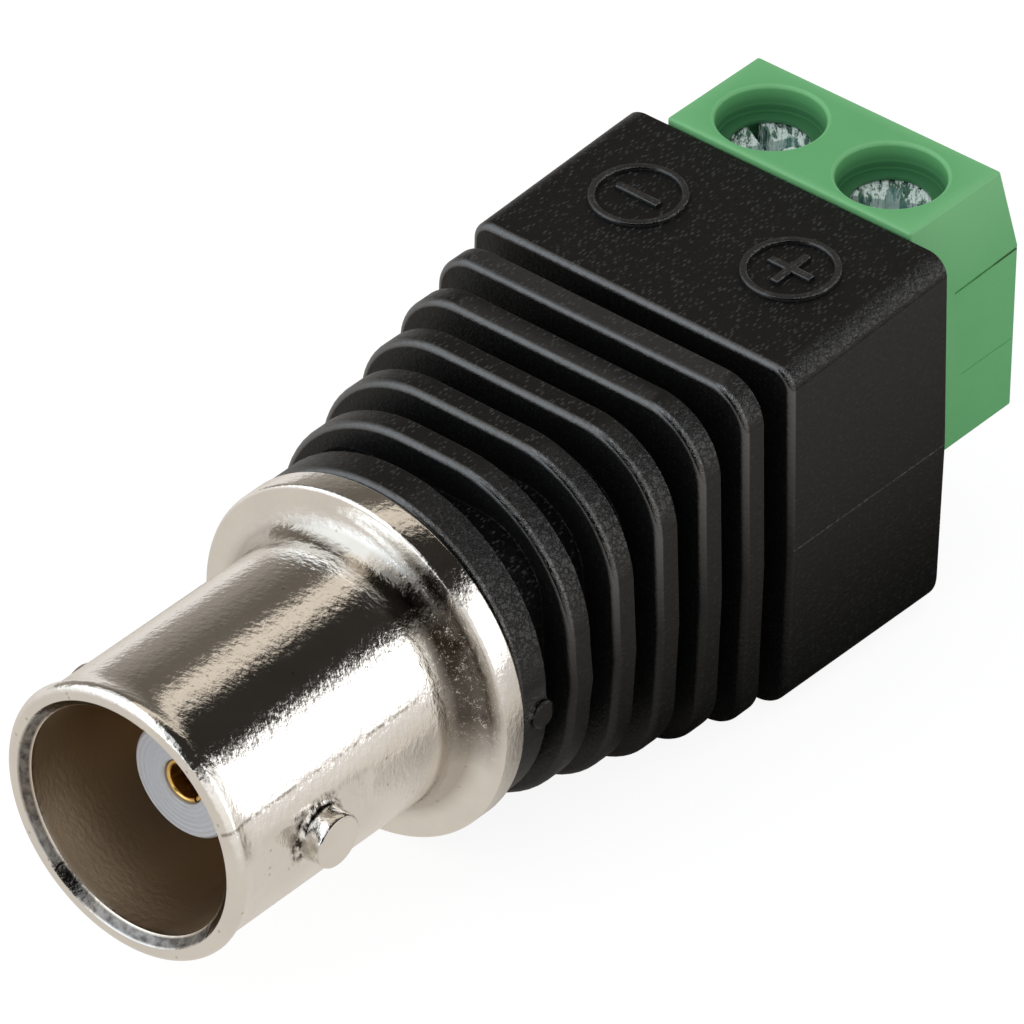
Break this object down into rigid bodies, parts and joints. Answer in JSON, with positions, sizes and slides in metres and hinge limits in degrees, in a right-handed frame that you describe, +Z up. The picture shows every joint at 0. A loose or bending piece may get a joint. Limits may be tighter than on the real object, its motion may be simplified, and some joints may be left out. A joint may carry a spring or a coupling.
{
  "type": "coaxial bayonet socket to screw terminal adapter",
  "caption": "Round bayonet coaxial socket on a ribbed plug body with a green screw terminal block.",
  "frame": {"origin": "centre of the socket's mouth, on its axis", "axes": "+X along the socket's axis, out of the mouth; +Z up, towards the marked face; +Y towards the plus pole"},
  "size_m": [0.0385, 0.0138, 0.0142],
  "materials": {
    "nickel": "polished",
    "white_plastic": "satin",
    "gold": "polished",
    "black_plastic": "satin",
    "green_plastic": "matte",
    "zinc": "bright",
    "tin": "bright",
    "copper": "bright",
    "solder": "bright"
  },
  "bodies": {
    "adapter": {"bnc_shell": "nickel", "insulator": "white_plastic", "center_contact": "gold", "moulded_body": "black_plastic", "terminal_housing": "green_plastic", "contact_strip_minus": "tin", "contact_strip_plus": "tin", "signal_lead": "copper", "ground_lead": "copper", "solder_center": "solder", "solder_ground": "solder", "solder_plus": "solder", "solder_minus": "solder"},
    "screw_minus": {"clamp_screw_minus": "zinc"},
    "screw_plus": {"clamp_screw_plus": "zinc"},
    "cage_minus": {"clamp_cage_minus": "zinc"},
    "cage_plus": {"clamp_cage_plus": "zinc"}
  },
  "joints": [
    {"name": "screw_minus_turn", "type": "hinge", "parent": "adapter", "child": "screw_minus", "pos_m": [-0.03485, -0.00254, 0], "axis": [0, 0, -1], "range_deg": [0, 1440]},
    {"name": "cage_minus_rise", "type": "slide", "parent": "adapter", "child": "cage_minus", "axis": [0, 0, 1], "range_m": [0, 0.002]},
    {"name": "screw_plus_turn", "type": "hinge", "parent": "adapter", "child": "screw_plus", "pos_m": [-0.03485, 0.00254, 0], "axis": [0, 0, -1], "range_deg": [0, 1440]},
    {"name": "cage_plus_rise", "type": "slide", "parent": "adapter", "child": "cage_plus", "axis": [0, 0, 1], "range_m": [0, 0.002]}
  ],
  "couplings": [
    {"joint": "screw_minus_turn", "follows": "cage_minus_rise", "rad_per_m": 12566},
    {"joint": "screw_plus_turn", "follows": "cage_plus_rise", "rad_per_m": 12566}
  ]
}
